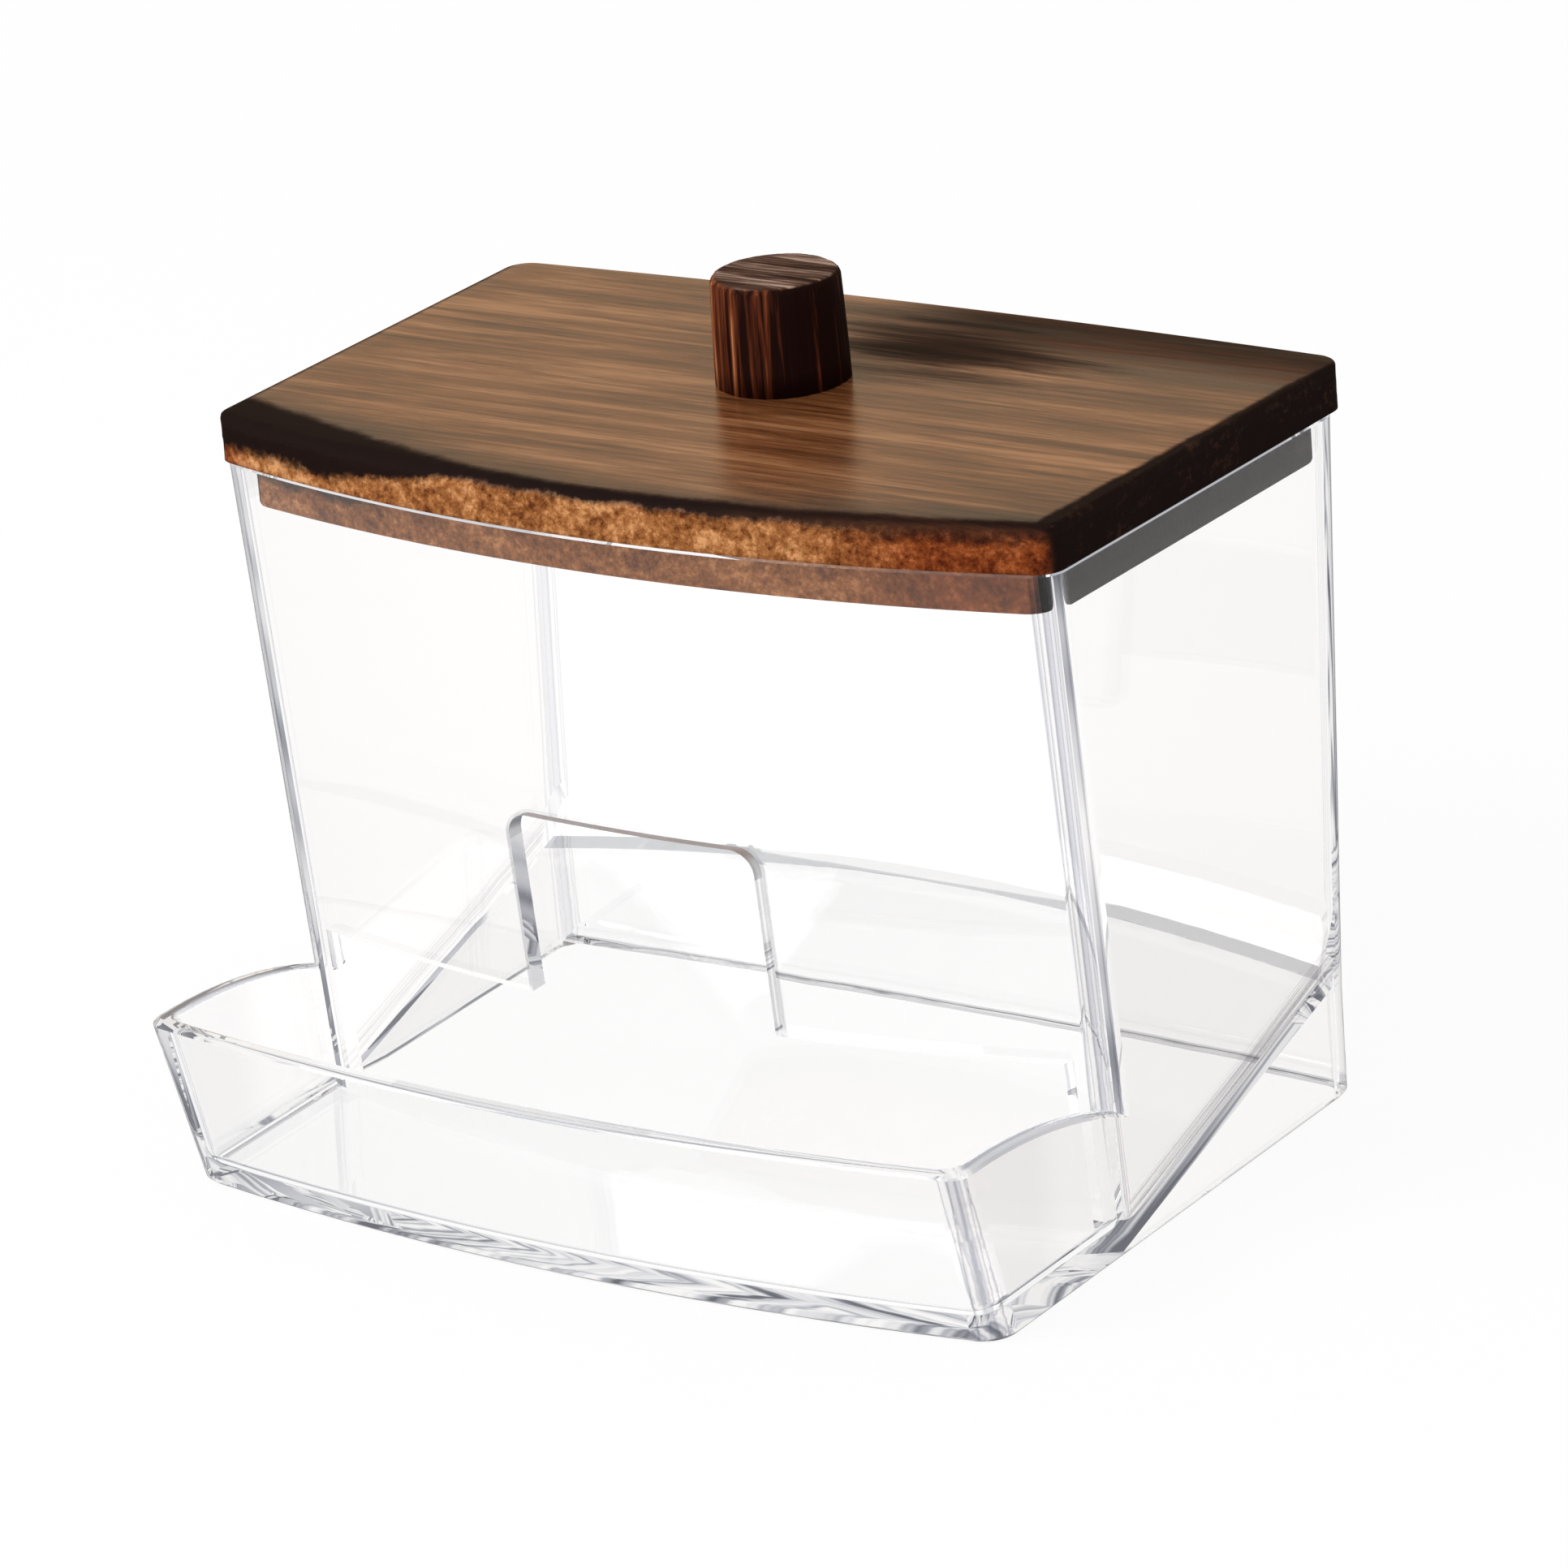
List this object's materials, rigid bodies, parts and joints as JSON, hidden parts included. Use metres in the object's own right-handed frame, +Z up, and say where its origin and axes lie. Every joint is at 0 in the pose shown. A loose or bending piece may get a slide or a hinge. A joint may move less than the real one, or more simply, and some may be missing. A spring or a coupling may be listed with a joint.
{
  "type": "cotton pad dispenser",
  "caption": "Clear countertop dispenser with a bowed front, inner ramp, dispensing slot with finger notch, open front trough and a lift-off burnt-wood lid with a round knob.",
  "frame": {"origin": "bottom centre of the closed object's bounding box, on the surface it stands on", "axes": "+X along the width, -Y the front with the open trough, +Z up"},
  "size_m": [0.1208, 0.099, 0.1059],
  "materials": {
    "clear_plastic": "clear, polished moulding",
    "burnt_wood": "torched and oiled, satin",
    "knob_wood": "torched and oiled, satin",
    "screw_steel": "plain"
  },
  "bodies": {
    "body": {"clear_body": "clear_plastic"},
    "lid": {"lid_board": "burnt_wood", "lid_knob": "knob_wood", "knob_screw": "screw_steel"}
  },
  "joints": [
    {"name": "lid_lift", "type": "slide", "parent": "body", "child": "lid", "axis": [0, 0, 1], "range_m": [0, 0.04]}
  ]
}
